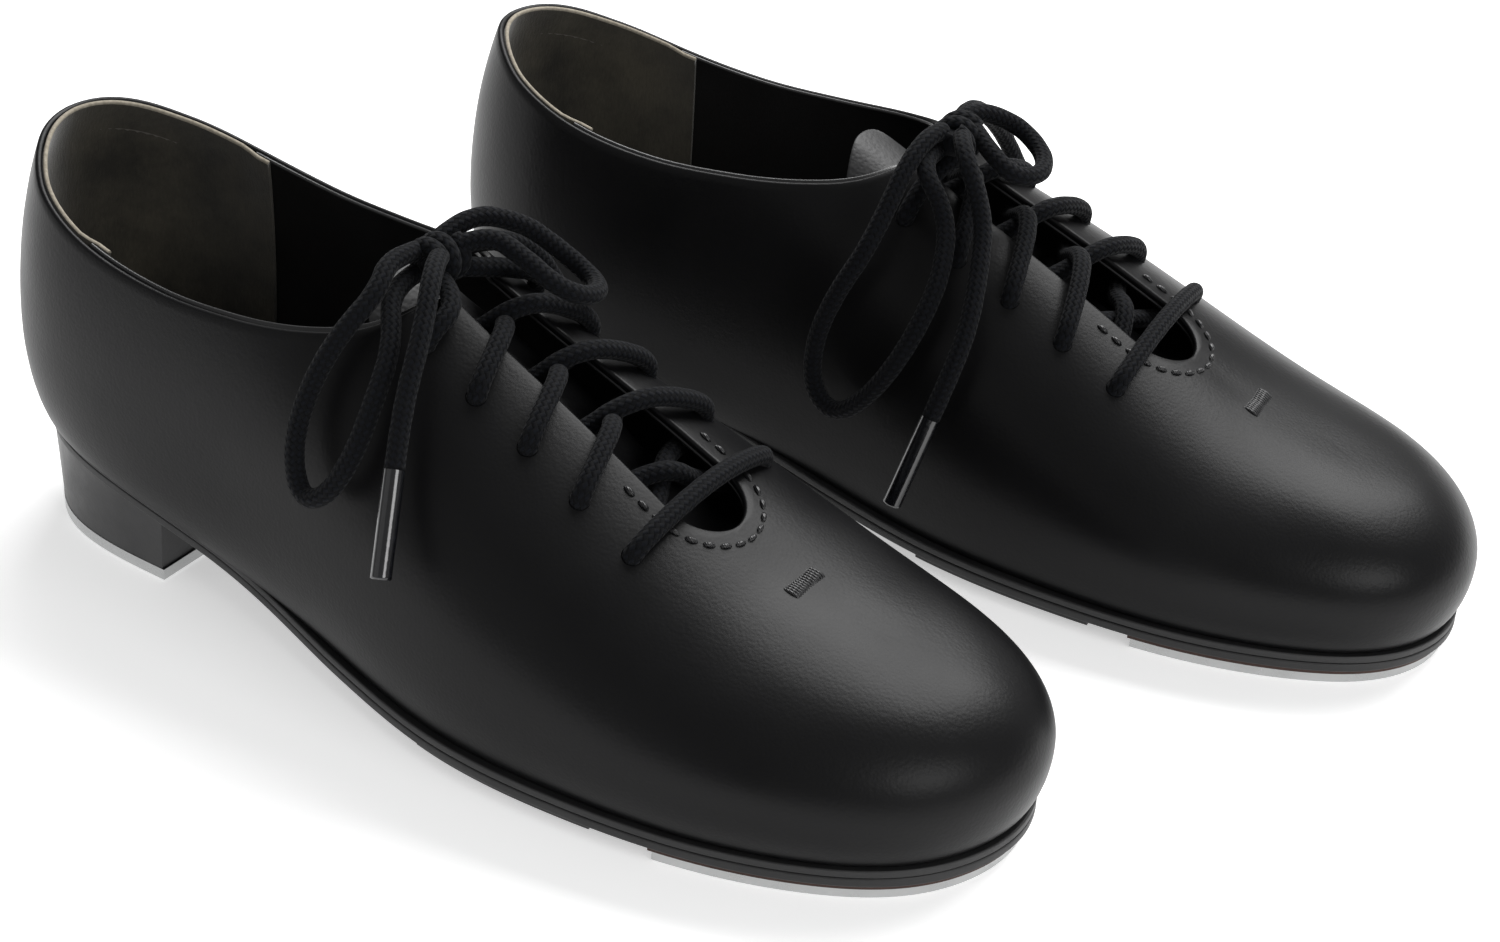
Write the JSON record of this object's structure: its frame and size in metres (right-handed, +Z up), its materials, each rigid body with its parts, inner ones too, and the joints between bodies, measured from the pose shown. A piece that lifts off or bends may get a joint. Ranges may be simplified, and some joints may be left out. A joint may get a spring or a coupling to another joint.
{
  "type": "tap shoes",
  "caption": "Pair of black lace-up tap shoes: one-piece leather upper with a laced throat and bows, low heel block, and metal taps under toe and heel.",
  "frame": {"origin": "centre of the pair's footprint, laces' free ends left out, on the ground", "axes": "+X along the right shoe from heel to toe, +Y to the wearer's left, +Z up"},
  "size_m": [0.3002, 0.2316, 0.0988],
  "materials": {
    "upper": "satin",
    "heel_lining": "matt",
    "forepart_lining": "satin",
    "stiffener": "matt",
    "tongue": "satin",
    "insole_board": "matt",
    "sock_liner": "matt",
    "bottom_filler": "matt",
    "steel_shank": "satin",
    "welt": "satin",
    "outsole": "matt",
    "sole_pad": "matt",
    "heel_block": "satin",
    "fixings": "satin",
    "tap_metal": "satin",
    "toe_board": "matt",
    "lace_cotton": "matt",
    "aglet_plastic": "gloss"
  },
  "bodies": {
    "right_shoe": {"right_upper": "upper", "right_heel_lining": "heel_lining", "right_forepart_lining": "forepart_lining", "right_heel_counter": "stiffener", "right_insole_board": "insole_board", "right_sock_liner": "sock_liner", "right_bottom_filler": "bottom_filler", "right_steel_shank": "steel_shank", "right_welt": "welt", "right_outsole": "outsole", "right_sole_pad": "sole_pad", "right_heel_block": "heel_block", "right_heel_nails": "fixings", "right_heel_tap": "tap_metal", "right_heel_tap_screws": "fixings", "right_lace_threaded": "lace_cotton", "right_lace_knot": "lace_cotton", "right_lace_long_loop": "lace_cotton", "right_lace_short_loop": "lace_cotton", "right_lace_front_tail": "lace_cotton", "right_lace_back_tail": "lace_cotton", "right_aglet_front": "aglet_plastic", "right_aglet_back": "aglet_plastic"},
    "right_forefoot": {"right_toe_puff": "stiffener", "right_toe_board": "toe_board", "right_toe_tap": "tap_metal", "right_toe_tap_screws": "fixings"},
    "right_tongue": {"right_tongue": "tongue"},
    "left_shoe": {"left_upper": "upper", "left_heel_lining": "heel_lining", "left_forepart_lining": "forepart_lining", "left_heel_counter": "stiffener", "left_insole_board": "insole_board", "left_sock_liner": "sock_liner", "left_bottom_filler": "bottom_filler", "left_steel_shank": "steel_shank", "left_welt": "welt", "left_outsole": "outsole", "left_sole_pad": "sole_pad", "left_heel_block": "heel_block", "left_heel_nails": "fixings", "left_heel_tap": "tap_metal", "left_heel_tap_screws": "fixings", "left_lace_threaded": "lace_cotton", "left_lace_knot": "lace_cotton", "left_lace_long_loop": "lace_cotton", "left_lace_short_loop": "lace_cotton", "left_lace_front_tail": "lace_cotton", "left_lace_back_tail": "lace_cotton", "left_aglet_front": "aglet_plastic", "left_aglet_back": "aglet_plastic"},
    "left_forefoot": {"left_toe_puff": "stiffener", "left_toe_board": "toe_board", "left_toe_tap": "tap_metal", "left_toe_tap_screws": "fixings"},
    "left_tongue": {"left_tongue": "tongue"}
  },
  "joints": [
    {"name": "left_lift", "type": "slide", "parent": "right_shoe", "child": "left_shoe", "axis": [0, 0, 1], "range_m": [0, 0.15]},
    {"name": "right_ball_flex", "type": "hinge", "parent": "right_shoe", "child": "right_forefoot", "pos_m": [0.02793, -0.06139, 0.01], "axis": [0, -1, 0], "range_deg": [0, 25], "stiffness_Nm_per_rad": 1.2, "deforming": ["right_upper", "right_forepart_lining", "right_insole_board", "right_sock_liner", "right_bottom_filler", "right_welt", "right_outsole", "right_sole_pad"]},
    {"name": "right_tongue_hinge", "type": "hinge", "parent": "right_shoe", "child": "right_tongue", "pos_m": [0.04893, -0.06139, 0.045], "axis": [0, -1, 0], "range_deg": [0, 5], "stiffness_Nm_per_rad": 0.05},
    {"name": "left_ball_flex", "type": "hinge", "parent": "left_shoe", "child": "left_forefoot", "pos_m": [0.07002, 0.0616, 0.01], "axis": [0.1011, -0.9949, 0], "range_deg": [0, 25], "stiffness_Nm_per_rad": 1.2, "deforming": ["left_upper", "left_forepart_lining", "left_insole_board", "left_sock_liner", "left_bottom_filler", "left_welt", "left_outsole", "left_sole_pad"]},
    {"name": "left_tongue_hinge", "type": "hinge", "parent": "left_shoe", "child": "left_tongue", "pos_m": [0.09091, 0.06372, 0.045], "axis": [0.1011, -0.9949, 0], "range_deg": [0, 5], "stiffness_Nm_per_rad": 0.05}
  ]
}
